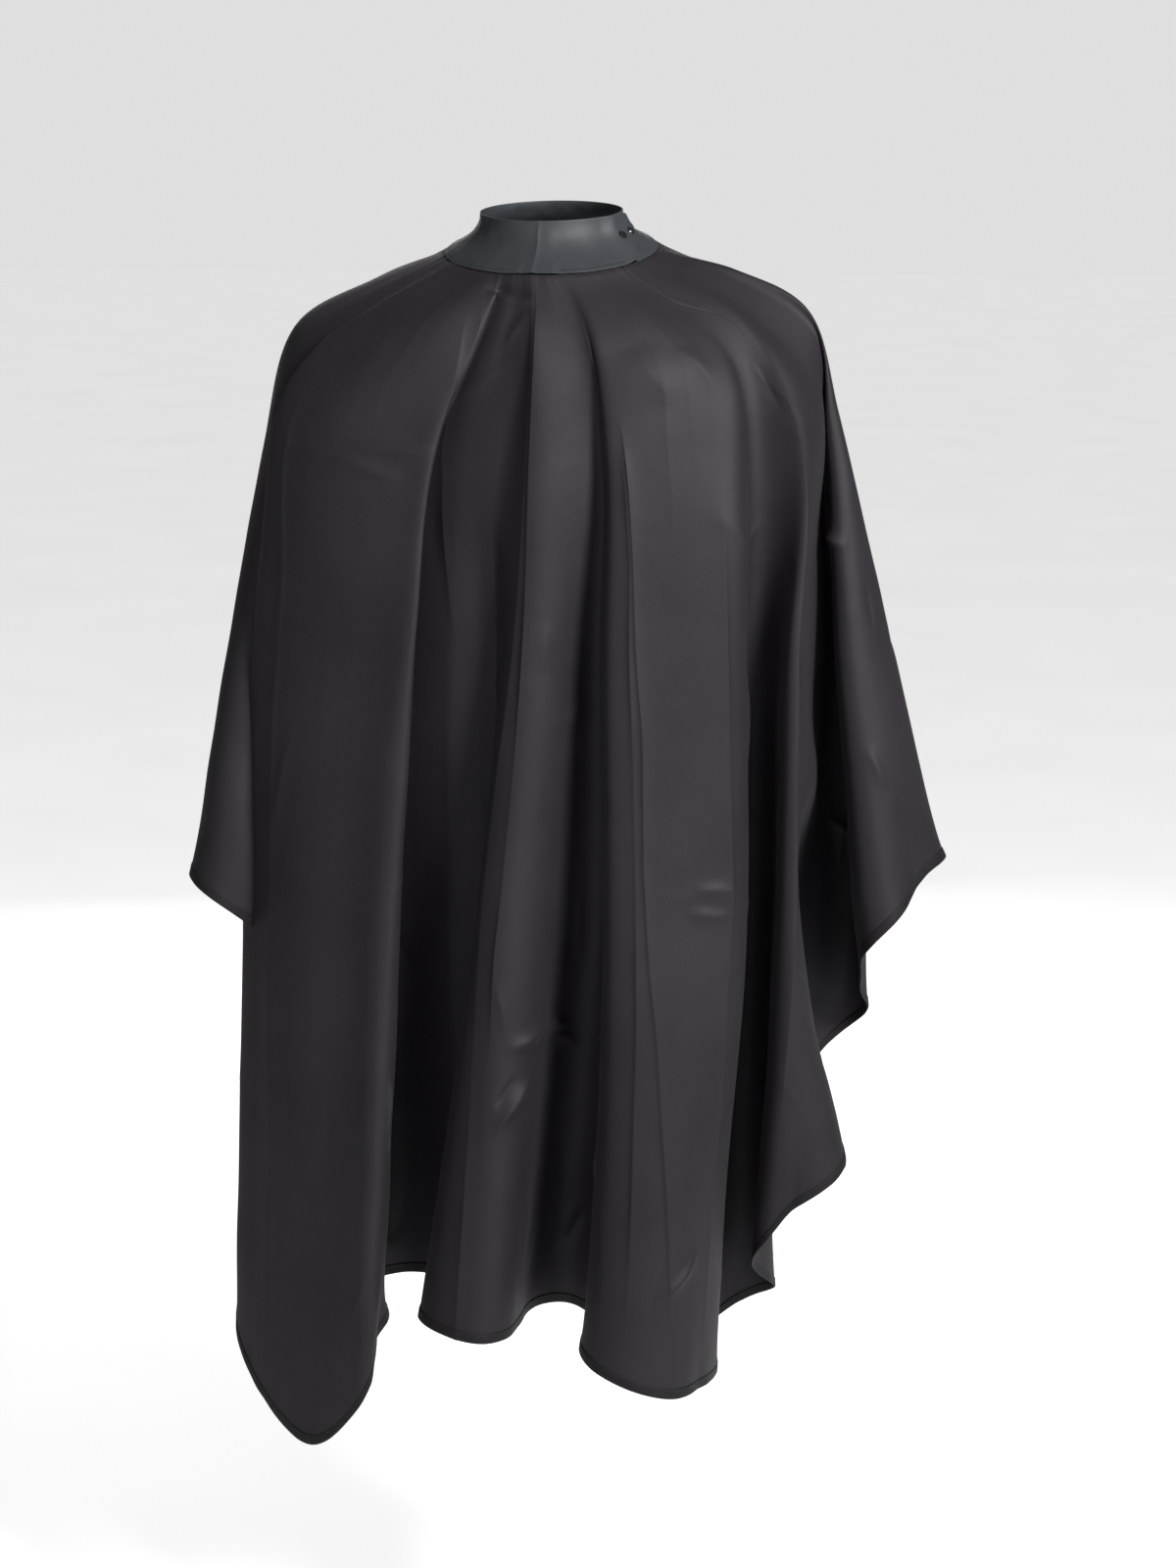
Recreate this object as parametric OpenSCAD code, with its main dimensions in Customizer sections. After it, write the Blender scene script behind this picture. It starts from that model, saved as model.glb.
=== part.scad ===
// Barber cape, hanging as it does on a seated client. Millimetres, +Z up, front towards -Y.
// The origin is the centre of the neck opening, level with the top edge of the neckband.

/* [Cloth] */
// Thickness of the cloth panel
cloth_t = 0.5; // [0.4:0.1:0.8]
// Width of the folded hem binding
binding_w = 10; // [8:1:12]
// Thickness of the folded hem binding
binding_t = 1.6; // [1.2:0.1:2]
// Diameter of the sewing thread
thread_d = 0.5; // [0.4:0.1:0.8]

/* [Neckband] */
// Width across the top edge of the neckband
band_top_w = 133; // [128:1:138]
// Depth across the top edge of the neckband
band_top_d = 128; // [124:1:132]
// Width across the neck seam
seam_w = 202; // [198:1:206]
// Depth across the neck seam
seam_d = 194; // [190:1:198]
// Drop from the top edge to the seam, at the sides
band_drop = 36; // [34:1:38]
// Thickness of the rubber band
band_t = 1.2; // [1:0.1:1.4]
// How strongly the band flares towards its seam
band_flare = 2.3; // [2.1:0.1:2.5]

/* [Closure] */
// Angle of the slit, from the front towards the wearer's left
slit_a = 62; // [60:1:64]
// Angle that the closure flap reaches past the slit
flap_reach = 35; // [34:1:36]
// Gap between the band and the flap over it
flap_gap = 2.6; // [2.4:0.1:2.8]
// Angle of the first snap
snap_a1 = 68.5; // [68:0.5:69]
// Angle of the second snap
snap_a2 = 82; // [81:0.5:83]
// Height of the snaps on the band, from its top edge, as a share of the drop
snap_q = 0.54; // [0.5:0.01:0.56]
// Diameter of the snap rings
snap_d = 9; // [8:0.5:9.5]

/* [Hidden] */

CLOTH = [0.22, 0.20, 0.22];
BINDING = [0.12, 0.11, 0.12];
RUBBER = [0.25, 0.28, 0.29];
METAL = [0.08, 0.08, 0.09];
THREAD = [0.05, 0.05, 0.06];

TOP_TILT = 0.12;          // slope of the top edge, down towards the front
SEAM_TILT = 0.20;         // slope of the seam, down towards the front
COLS_PER_RIB = 4;         // columns of facets between one rib and the next
ROWS = 22;                // rows of facets from the seam to the hem
BINDING_CLEAR = 0.8;      // gap between the cloth's edge and its binding
SEAM_TUCK = 2;            // how far the cloth runs in under the band
SEAM_CLEAR = 1.2;         // and how far below it
STEP = 0.01;              // step for slopes, in ribs and in shares of a length

// The drape is a family of ribs, one per fold crest or fold root, going round from the back
// centre by the wearer's right, the front and the left. Each rib is the angle at which it leaves
// the neck seam, then six points down the cloth, the last one on the hem.
RIBS = [
    [-180, [0, 125, -40], [0, 148, -90], [0, 160, -145], [0, 167, -195], [0, 171, -240], [0, 175, -285]],
    [-158, [-70, 125, -45], [-95, 152, -90], [-112, 172, -150], [-125, 190, -210],
     [-136, 208, -265], [-142, 222, -325]],
    [-138, [-115, 105, -55], [-150, 128, -100], [-175, 140, -170], [-190, 146, -250],
     [-200, 150, -340], [-208, 152, -430]],
    [-120, [-150, 75, -62], [-205, 105, -110], [-240, 135, -220], [-262, 160, -360],
     [-280, 182, -490], [-295, 200, -610]],
    [-104, [-168, 37, -66], [-230, 48, -105], [-264, 62, -230], [-287, 72, -380],
     [-303, 80, -520], [-316, 85, -645]],
    [-88, [-175, 0, -66], [-245, 0, -103], [-281, 0, -220], [-304, 0, -400], [-324, -5, -530],
     [-340, -5, -635]],
    [-74, [-165, -40, -73], [-228, -52, -112], [-263, -70, -235], [-282, -90, -410],
     [-290, -105, -540], [-295, -112, -648]],
    [-61, [-147, -72, -82], [-204, -86, -128], [-236, -78, -240], [-246, -50, -430],
     [-248, -20, -620], [-246, 0, -790]],
    [-49, [-135, -105, -90], [-210, -125, -170], [-230, -135, -350], [-245, -145, -610],
     [-252, -155, -880], [-258, -165, -1150]],
    [-38, [-110, -120, -95], [-170, -145, -185], [-185, -160, -375], [-200, -175, -630],
     [-210, -185, -895], [-210, -195, -1175]],
    [-28, [-80, -125, -95], [-120, -150, -195], [-140, -165, -375], [-155, -180, -625],
     [-160, -195, -885], [-170, -200, -1140]],
    [-20, [-45, -120, -100], [-80, -150, -205], [-95, -175, -370], [-110, -190, -610],
     [-120, -205, -835], [-130, -210, -1045]],
    [-15, [-40, -110, -100], [-95, -115, -210], [-130, -115, -370], [-150, -105, -620],
     [-155, -100, -845], [-155, -100, -1040]],
    [-10, [-25, -115, -100], [-60, -125, -215], [-70, -130, -370], [-75, -125, -615],
     [-80, -120, -840], [-85, -115, -1035]],
    [-6, [-15, -115, -100], [-40, -130, -220], [-35, -130, -370], [-40, -125, -615],
     [-50, -125, -840], [-60, -120, -1035]],
    [-2, [0, -120, -100], [-15, -135, -220], [-20, -145, -370], [-30, -155, -620],
     [-50, -170, -850], [-80, -185, -1040]],
    [3, [10, -125, -105], [10, -150, -220], [5, -165, -395], [-15, -190, -625], [-25, -215, -855],
     [-35, -235, -1045]],
    [14, [55, -120, -115], [70, -130, -220], [70, -130, -400], [70, -130, -650], [50, -120, -850],
     [25, -110, -1060]],
    [24, [70, -125, -115], [85, -150, -220], [85, -170, -405], [90, -190, -655], [90, -205, -860],
     [80, -220, -1070]],
    [34, [130, -110, -125], [145, -135, -220], [155, -160, -400], [160, -175, -650],
     [160, -195, -870], [150, -215, -1095]],
    [44, [165, -100, -140], [180, -125, -230], [190, -145, -400], [195, -155, -650],
     [185, -165, -870], [175, -175, -1100]],
    [54, [185, -75, -130], [205, -85, -235], [200, -70, -400], [200, -40, -655], [185, -15, -875],
     [185, 0, -1100]],
    [65, [190, -55, -100], [240, -75, -180], [250, -100, -400], [250, -105, -620],
     [245, -105, -820], [240, -90, -960]],
    [76, [185, -30, -85], [248, -30, -140], [258, 15, -305], [260, 40, -485], [256, 45, -670],
     [250, 50, -855]],
    [83, [180, -10, -65], [245, -5, -105], [265, 5, -235], [285, 5, -410], [295, 5, -575],
     [305, 5, -745]],
    [91, [180, 0, -55], [240, 0, -85], [275, -5, -190], [305, -20, -345], [335, -30, -495],
     [360, -30, -635]],
    [106, [168, 40, -60], [230, 52, -98], [262, 70, -225], [282, 82, -370], [292, 90, -510],
     [298, 96, -640]],
    [121, [148, 78, -60], [200, 108, -108], [237, 140, -215], [258, 166, -345], [274, 190, -470],
     [286, 208, -590]],
    [139, [113, 105, -54], [148, 127, -98], [172, 139, -165], [188, 145, -245], [198, 149, -330],
     [206, 151, -420]],
    [159, [68, 126, -44], [92, 153, -90], [110, 173, -150], [122, 190, -208], [134, 207, -262],
     [140, 220, -320]]
];
N = len(RIBS);
COLS = N * COLS_PER_RIB;
HEM_COLS = 2 * COLS;       // the thin hem parts need a finer step round the tight folds

slit_u = 21.72;           // where the slit lies among the ribs
hinge_a = slit_a - 1;
flap_off = band_t + flap_gap;

// ---- geometry helpers ----
function catmull(a, b, c, d, t) =
    0.5 * (2 * b + (c - a) * t + (2 * a - 5 * b + 4 * c - d) * t * t
        + (3 * b - a - 3 * c + d) * t * t * t);

function unit(v) = v / norm(v);

// A point on the band: angle from the front, share of the drop, distance out from its inner face
function band_base(a, q) =
    let (
        f = pow(q, band_flare),
        yt = -band_top_d / 2 * cos(a),
        yb = -seam_d / 2 * cos(a)
    ) [
        (band_top_w + (seam_w - band_top_w) * f) / 2 * sin(a),
        yt + (yb - yt) * f,
        TOP_TILT * yt * (1 - q) + (SEAM_TILT * yb - band_drop) * q
    ];
function band_normal(a, q) =
    unit(cross(band_base(a + 1, q) - band_base(a - 1, q),
        band_base(a, max(q - STEP, 0)) - band_base(a, q + STEP)));
function band_at(a, q, off) = band_base(a, q) + off * band_normal(a, q);

// The seam end of the cloth, just inside and below the edge of the band
function seam_at(a) = [
    (seam_w / 2 - SEAM_TUCK) * sin(a),
    -(seam_d / 2 - SEAM_TUCK) * cos(a),
    -band_drop - SEAM_CLEAR - SEAM_TILT * seam_d / 2 * cos(a)
];

// A point on one rib, s from 0 at the seam to 1 at the hem
function rib_knot(r, k) = k == 0 ? seam_at(r[0]) : r[k];
function on_rib(r, s) =
    let (n = len(r) - 1, i = min(floor(s * n), n - 1))
    catmull(rib_knot(r, max(i - 1, 0)), rib_knot(r, i), rib_knot(r, i + 1),
        rib_knot(r, min(i + 2, n)), s * n - i);
// A point on the cloth, u counting ribs round the neck
function cloth_mid(u, s) =
    let (i = floor(u), m = i + N)
    catmull(on_rib(RIBS[(m - 1) % N], s), on_rib(RIBS[m % N], s), on_rib(RIBS[(m + 1) % N], s),
        on_rib(RIBS[(m + 2) % N], s), u - i);
function cloth_normal(u, s) =
    unit(cross(cloth_mid(u + STEP, s) - cloth_mid(u - STEP, s),
        cloth_mid(u, max(s - STEP, 0)) - cloth_mid(u, min(s + STEP, 1))));
function cloth_at(u, s, off) = cloth_mid(u, s) + off * cloth_normal(u, s);
// Share of the rib at a distance back from the hem
function back_from_hem(u, d) =
    1 - d / (6 * norm(cloth_mid(u, 1) - cloth_mid(u, 5 / 6)));

// A closed solid from a ring of columns, each a closed outline of the same length
module ring_solid(cols) {
    n = len(cols);
    m = len(cols[0]);
    polyhedron(
        points = [for (c = cols) each c],
        faces = [for (i = [0 : n - 1]) for (j = [0 : m - 1])
            let (p = i * m, q = ((i + 1) % n) * m, k = (j + 1) % m)
            each [[p + j, q + j, q + k], [p + j, q + k, p + k]]]
    );
}

// The same, left open between the last column and the first, with an end on each
module strip_solid(cols) {
    n = len(cols);
    m = len(cols[0]);
    half = m / 2;
    polyhedron(
        points = [for (c = cols) each c],
        faces = concat(
            [for (i = [0 : n - 2]) for (j = [0 : m - 1])
                let (p = i * m, q = (i + 1) * m, k = (j + 1) % m)
                each [[p + j, q + j, q + k], [p + j, q + k, p + k]]],
            [for (e = [0, 1]) for (j = [0 : half - 2])
                let (o = e * (n - 1) * m, a = o + j, b = o + j + 1, c = o + m - 2 - j, d = o + m - 1 - j)
                each e == 0 ? [[a, b, c], [a, c, d]] : [[b, a, c], [c, a, d]]]
        )
    );
}

// Moves a shape to the band, its Z axis pointing out of the surface
module on_band(a, off) {
    n = band_normal(a, snap_q);
    translate(band_at(a, snap_q, off))
        rotate([0, acos(n[2]), atan2(n[1], n[0])])
            children();
}

// ---- sub-parts ----
module cape_cloth() {
    color(CLOTH)
        ring_solid([for (i = [0 : COLS - 1])
            let (u = i / COLS_PER_RIB, last = back_from_hem(u, binding_w))
            concat(
                [for (j = [0 : ROWS]) cloth_at(u, last * j / ROWS, -cloth_t / 2)],
                [for (j = [ROWS : -1 : 0]) cloth_at(u, last * j / ROWS, cloth_t / 2)]
            )]);
}

module hem_binding() {
    color(BINDING)
        ring_solid([for (i = [0 : HEM_COLS - 1])
            let (u = i * N / HEM_COLS, s = back_from_hem(u, binding_w - BINDING_CLEAR))
            [cloth_at(u, s, -binding_t / 2), cloth_at(u, 1, -binding_t / 2),
                cloth_at(u, 1, binding_t / 2), cloth_at(u, s, binding_t / 2)]]);
}

module hem_thread() {
    color(THREAD)
        ring_solid([for (i = [0 : HEM_COLS - 1])
            let (
                u = i * N / HEM_COLS,
                c = cloth_at(u, back_from_hem(u, binding_w - 2), binding_t / 2 + thread_d / 2 + 0.2),
                n = cloth_normal(u, 1) * thread_d / 2,
                t = unit(cloth_mid(u, 1) - cloth_mid(u, 1 - STEP)) * thread_d / 2
            )
            [c - n, c + t, c + n, c - t]]);
}

// The strip of cloth that lies inside, behind the slit
module slit_underlay() {
    color(CLOTH)
        strip_solid([for (i = [0 : 6])
            let (u = slit_u - 0.55 + i * 0.2)
            concat(
                [for (j = [0 : 6]) cloth_at(u, 0.01 + j * 0.026, -1.5 - cloth_t)],
                [for (j = [6 : -1 : 0]) cloth_at(u, 0.01 + j * 0.026, -1.5)]
            )]);
}

module neckband() {
    cols = 72;
    rows = 6;
    difference() {
        color(RUBBER)
            strip_solid([for (i = [0 : cols])
                let (a = slit_a + 0.6 + i * (358.6 / cols))
                concat(
                    [for (j = [0 : rows]) band_at(a, j / rows, 0)],
                    [for (j = [rows : -1 : 0]) band_at(a, j / rows, band_t)]
                )]);
        for (a = [snap_a1, snap_a2]) on_band(a, -3) cylinder(d = 3.2, h = 8, $fn = 24);
    }
}

module neck_seam_thread() {
    cols = 72;
    color(THREAD)
        strip_solid([for (i = [0 : cols])
            let (
                a = slit_a + flap_reach + 3 + i * ((360 - flap_reach - 5) / cols),
                c = band_at(a, 0.95, band_t + thread_d / 2 + 0.3),
                n = band_normal(a, 0.95) * thread_d / 2,
                t = unit(band_base(a, 0.96) - band_base(a, 0.94)) * thread_d / 2
            )
            [c + n, c - t, c - n, c + t]]);
}

// Top and bottom of the flap along its length: g runs from 0 at the root to 1 at the rounded tip
function flap_top(g) = 0.02 + 0.30 * pow(g, 6);
function flap_bottom(g) = 0.985 - 0.22 * pow(g, 0.8) - 0.17 * pow(g, 6);

module closure_flap() {
    cols = 22;
    rows = 6;
    difference() {
        color(RUBBER)
            strip_solid([for (i = [0 : cols])
                let (
                    g = i / cols,
                    a = hinge_a - 0.2 + g * flap_reach,
                    lift = 0.4 + (flap_gap - 0.4) * min(1, g / 0.15)
                )
                concat(
                    [for (j = [rows : -1 : 0])
                        band_at(a, flap_top(g) + (flap_bottom(g) - flap_top(g)) * j / rows, band_t + lift + band_t)],
                    [for (j = [0 : rows])
                        band_at(a, flap_top(g) + (flap_bottom(g) - flap_top(g)) * j / rows, band_t + lift)]
                )]);
        for (a = [snap_a1, snap_a2]) on_band(a, 1) cylinder(d = 3.2, h = 8, $fn = 24);
    }
}

// The ring that shows, with its raised centre and the tube that is pressed through the flap
module snap_cap(a) {
    color(METAL)
        on_band(a, flap_off + band_t + 0.35) {
            rotate_extrude($fn = 48)
                polygon([[2.2, 0], [snap_d / 2 - 0.3, 0], [snap_d / 2, 0.35], [snap_d / 2 - 0.5, 0.9],
                    [3.1, 0.7], [2.2, 0.3]]);
            difference() {
                translate([0, 0, -band_t - 0.7]) cylinder(d = 2.8, h = band_t + 1.1, $fn = 32);
                translate([0, 0, -band_t - 1]) cylinder(d = 1.8, h = band_t + 0.9, $fn = 32);
            }
            difference() {
                translate([0, 0, 0.3]) cylinder(d = 4.6, h = 0.45, $fn = 32);
                translate([0, 0, 0.55]) cylinder(d = 2.2, h = 1, $fn = 32);
            }
        }
}

// The socket under the flap, open towards the band
module socket(a) {
    color(METAL)
        on_band(a, flap_off - 0.3)
            difference() {
                translate([0, 0, -1.5]) cylinder(d = 7.6, h = 1.5, $fn = 40);
                translate([0, 0, -1.6]) cylinder(d = 5.2, h = 1.3, $fn = 40);
                translate([0, 0, -1.1]) cylinder(d = 6.2, h = 0.6, $fn = 40);
                translate([0, 0, -2]) cylinder(d = 3, h = 3, $fn = 32);
            }
}

// The open wire ring that grips the stud, in its groove inside the socket
module socket_spring(a) {
    color("silver")
        on_band(a, flap_off - 0.3 - 0.8)
            rotate([0, 0, 20]) rotate_extrude(angle = 320, $fn = 40) translate([2.85, 0]) circle(d = 0.4, $fn = 16);
}

// The stud on the band, a waisted post on a flange, hollow for the ring's tube
module stud(a) {
    color(METAL)
        on_band(a, band_t + 0.3)
            rotate_extrude($fn = 40)
                polygon([[1.5, 0], [3.6, 0], [3.6, 0.3], [1.9, 0.45], [1.75, 0.8], [2, 1.2], [1.8, 1.55],
                    [1.5, 1.7], [0, 1.7], [0, 1.35], [1.2, 1.35], [1.5, 0.9]]);
}

// The ring inside the band that the stud is pressed on to
module stud_ring(a) {
    color(METAL)
        on_band(a, -0.35) {
            rotate_extrude($fn = 40)
                polygon([[1, -0.4], [3.4, -0.4], [3.7, -0.1], [3.4, 0], [1, 0]]);
            difference() {
                translate([0, 0, -0.2]) cylinder(d = 2.8, h = band_t + 1.4, $fn = 32);
                translate([0, 0, -1]) cylinder(d = 2, h = band_t + 3, $fn = 32);
            }
        }
}

cape_cloth();
hem_binding();
hem_thread();
slit_underlay();
neckband();
neck_seam_thread();
stud(snap_a1);  // front_stud
stud(snap_a2);  // rear_stud
stud_ring(snap_a1);  // front_stud_ring
stud_ring(snap_a2);  // rear_stud_ring
closure_flap();
snap_cap(snap_a1);  // front_snap_cap
snap_cap(snap_a2);  // rear_snap_cap
socket(snap_a1);  // front_socket
socket(snap_a2);  // rear_socket
socket_spring(snap_a1);  // front_socket_spring
socket_spring(snap_a2);  // rear_socket_spring
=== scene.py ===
"""Barber cape: cloth, bound hem, rubber neckband and ring snaps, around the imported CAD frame."""

import math

import bpy
import numpy as np
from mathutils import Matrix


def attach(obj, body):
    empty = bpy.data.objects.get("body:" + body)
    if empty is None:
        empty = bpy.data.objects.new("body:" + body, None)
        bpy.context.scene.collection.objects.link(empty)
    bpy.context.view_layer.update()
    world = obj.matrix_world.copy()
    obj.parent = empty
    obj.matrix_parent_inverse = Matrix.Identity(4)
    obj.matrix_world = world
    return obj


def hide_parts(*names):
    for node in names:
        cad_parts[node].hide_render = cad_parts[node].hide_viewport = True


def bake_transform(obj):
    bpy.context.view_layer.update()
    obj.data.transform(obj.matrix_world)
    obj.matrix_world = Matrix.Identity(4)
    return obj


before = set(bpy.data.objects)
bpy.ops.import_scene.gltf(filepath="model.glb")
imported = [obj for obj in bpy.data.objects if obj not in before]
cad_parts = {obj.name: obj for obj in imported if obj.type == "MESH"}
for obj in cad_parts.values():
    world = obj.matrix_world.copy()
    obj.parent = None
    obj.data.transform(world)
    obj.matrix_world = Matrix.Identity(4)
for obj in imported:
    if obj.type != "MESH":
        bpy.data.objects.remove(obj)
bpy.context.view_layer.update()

# ---------------------------------------------------------------- sizes, in metres
MM = 0.001

# The band: its oval at the top, its oval at the seam, and angles round it from the front, in degrees
BAND_TOP_W, BAND_TOP_D = 0.133, 0.128
SEAM_W, SEAM_D = 0.202, 0.194
BAND_DROP = 0.036
BAND_T = 0.0012
BAND_FLARE = 2.3
TOP_TILT, SEAM_TILT = 0.12, 0.20
SLIT_A = 62.0
FLAP_REACH = 35.0
FLAP_GAP = 0.0026
SEAM_TUCK, SEAM_CLEAR = 0.002, 0.0012

# The cut sheet: its width and length, and how much of the length is in front of the neck
SHEET_W, SHEET_L = 1.64, 1.45
FRONT_L = 1.09
CORNER_R = 0.28

# Columns and rows of the grid for the guide, round the cape and down it
COLS, ROWS = 400, 100
# The mesh has FINE_COLS columns in all, closer together along the runs of ribs with sharp crests,
# and FINE_ROWS rows to each row of the guide
FINE_COLS, FINE_ROWS = 2000, 3
CREST_RUNS = ((10.2, 11.6), (12.0, 13.3), (15.8, 16.2), (17.6, 19.0), (19.85, 20.15), (21.85, 22.15))
CREST_DENSITY = 4

# The same ribs as in part.scad, in millimetres: the angle at the seam, then six points
RIBS = [
    [-180, [0, 125, -40], [0, 148, -90], [0, 160, -145], [0, 167, -195], [0, 171, -240],
     [0, 175, -285]],
    [-158, [-70, 125, -45], [-95, 152, -90], [-112, 172, -150], [-125, 190, -210],
     [-136, 208, -265], [-142, 222, -325]],
    [-138, [-115, 105, -55], [-150, 128, -100], [-175, 140, -170], [-190, 146, -250],
     [-200, 150, -340], [-208, 152, -430]],
    [-120, [-150, 75, -62], [-205, 105, -110], [-240, 135, -220], [-262, 160, -360],
     [-280, 182, -490], [-295, 200, -610]],
    [-104, [-168, 37, -66], [-230, 48, -105], [-264, 62, -230], [-287, 72, -380],
     [-303, 80, -520], [-316, 85, -645]],
    [-88, [-175, 0, -66], [-245, 0, -103], [-281, 0, -220], [-304, 0, -400], [-324, -5, -530],
     [-340, -5, -635]],
    [-74, [-165, -40, -73], [-228, -52, -112], [-263, -70, -235], [-282, -90, -410],
     [-290, -105, -540], [-295, -112, -648]],
    [-61, [-147, -72, -82], [-204, -86, -128], [-236, -78, -240], [-246, -50, -430],
     [-248, -20, -620], [-246, 0, -790]],
    [-49, [-135, -105, -90], [-210, -125, -170], [-230, -135, -350], [-245, -145, -610],
     [-252, -155, -880], [-258, -165, -1150]],
    [-38, [-110, -120, -95], [-170, -145, -185], [-185, -160, -375], [-200, -175, -630],
     [-210, -185, -895], [-210, -195, -1175]],
    [-28, [-80, -125, -95], [-120, -150, -195], [-140, -165, -375], [-155, -180, -625],
     [-160, -195, -885], [-170, -200, -1140]],
    [-20, [-45, -120, -100], [-80, -150, -205], [-95, -175, -370], [-110, -190, -610],
     [-120, -205, -835], [-130, -210, -1045]],
    [-15, [-40, -110, -100], [-95, -115, -210], [-130, -115, -370], [-150, -105, -620],
     [-155, -100, -845], [-155, -100, -1040]],
    [-10, [-25, -115, -100], [-60, -125, -215], [-70, -130, -370], [-75, -125, -615],
     [-80, -120, -840], [-85, -115, -1035]],
    [-6, [-15, -115, -100], [-40, -130, -220], [-35, -130, -370], [-40, -125, -615],
     [-50, -125, -840], [-60, -120, -1035]],
    [-2, [0, -120, -100], [-15, -135, -220], [-20, -145, -370], [-30, -155, -620],
     [-50, -170, -850], [-80, -185, -1040]],
    [3, [10, -125, -105], [10, -150, -220], [5, -165, -395], [-15, -190, -625], [-25, -215, -855],
     [-35, -235, -1045]],
    [14, [55, -120, -115], [70, -130, -220], [70, -130, -400], [70, -130, -650], [50, -120, -850],
     [25, -110, -1060]],
    [24, [70, -125, -115], [85, -150, -220], [85, -170, -405], [90, -190, -655], [90, -205, -860],
     [80, -220, -1070]],
    [34, [130, -110, -125], [145, -135, -220], [155, -160, -400], [160, -175, -650],
     [160, -195, -870], [150, -215, -1095]],
    [44, [165, -100, -140], [180, -125, -230], [190, -145, -400], [195, -155, -650],
     [185, -165, -870], [175, -175, -1100]],
    [54, [185, -75, -130], [205, -85, -235], [200, -70, -400], [200, -40, -655], [185, -15, -875],
     [185, 0, -1100]],
    [65, [190, -55, -100], [240, -75, -180], [250, -100, -400], [250, -105, -620],
     [245, -105, -820], [240, -90, -960]],
    [76, [185, -30, -85], [248, -30, -140], [258, 15, -305], [260, 40, -485], [256, 45, -670],
     [250, 50, -855]],
    [83, [180, -10, -65], [245, -5, -105], [265, 5, -235], [285, 5, -410], [295, 5, -575],
     [305, 5, -745]],
    [91, [180, 0, -55], [240, 0, -85], [275, -5, -190], [305, -20, -345], [335, -30, -495],
     [360, -30, -635]],
    [106, [168, 40, -60], [230, 52, -98], [262, 70, -225], [282, 82, -370], [292, 90, -510],
     [298, 96, -640]],
    [121, [148, 78, -60], [200, 108, -108], [237, 140, -215], [258, 166, -345], [274, 190, -470],
     [286, 208, -590]],
    [139, [113, 105, -54], [148, 127, -98], [172, 139, -165], [188, 145, -245], [198, 149, -330],
     [206, 151, -420]],
    [159, [68, 126, -44], [92, 153, -90], [110, 173, -150], [122, 190, -208], [134, 207, -262],
     [140, 220, -320]],
]

# The rib that each corner or middle of the cut sheet hangs from, going round with the ribs
ANCHOR_RIBS = [0, 3, 9, 16, 21, 27, 30]


# ---------------------------------------------------------------- numbers
def cubic(knots, points, at):
    """A smooth curve through points (n, ...) at rising knots, read at the given places."""
    points = np.asarray(points, float)
    step = np.diff(knots).reshape((-1,) + (1,) * (points.ndim - 1))
    slope = np.diff(points, axis=0) / step
    tangent = np.empty_like(points)
    tangent[0], tangent[-1] = slope[0], slope[-1]
    tangent[1:-1] = (slope[:-1] * step[1:] + slope[1:] * step[:-1]) / (step[:-1] + step[1:])
    i = np.clip(np.searchsorted(knots, at, side="right") - 1, 0, len(knots) - 2)
    h = step[i]
    t = ((at - knots[i]).reshape(h.shape)) / h
    a, b, m, n = points[i], points[i + 1], tangent[i] * h, tangent[i + 1] * h
    return (
        (2 * t**3 - 3 * t**2 + 1) * a
        + (t**3 - 2 * t**2 + t) * m
        + (3 * t**2 - 2 * t**3) * b
        + (t**3 - t**2) * n
    )


def cubic_ring(knots, points, period, at):
    """The same for a closed ring, with knots from 0 to less than the period."""
    wrap = 3
    k = np.concatenate([knots[-wrap:] - period, knots, knots[:wrap] + period])
    p = np.concatenate([points[-wrap:], points, points[:wrap]])
    return cubic(k, p, at % period)


def smooth(edge0, edge1, x):
    t = np.clip((x - edge0) / (edge1 - edge0), 0, 1)
    return t * t * (3 - 2 * t)


def unit(v):
    return v / np.maximum(np.linalg.norm(v, axis=-1, keepdims=True), 1e-12)


def value_noise(x, y, seed):
    """Smooth noise from -1 to 1 over the plane, the same on every run."""
    table = np.random.default_rng(seed).uniform(-1, 1, (256, 256))
    xi, yi = np.floor(x).astype(int), np.floor(y).astype(int)
    tx, ty = x - xi, y - yi
    tx, ty = tx * tx * (3 - 2 * tx), ty * ty * (3 - 2 * ty)
    a, b = table[xi % 256, yi % 256], table[(xi + 1) % 256, yi % 256]
    c, d = table[xi % 256, (yi + 1) % 256], table[(xi + 1) % 256, (yi + 1) % 256]
    return (a * (1 - tx) + b * tx) * (1 - ty) + (c * (1 - tx) + d * tx) * ty


# ---------------------------------------------------------------- the sheet, flat and hung
def seam_point(a):
    """The cloth's end at the neck seam, just inside and below the edge of the band."""
    a = np.radians(a)
    return np.stack(
        [
            (SEAM_W / 2 - SEAM_TUCK) * np.sin(a),
            -(SEAM_D / 2 - SEAM_TUCK) * np.cos(a),
            -BAND_DROP - SEAM_CLEAR - SEAM_TILT * SEAM_D / 2 * np.cos(a),
        ],
        -1,
    )


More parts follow.
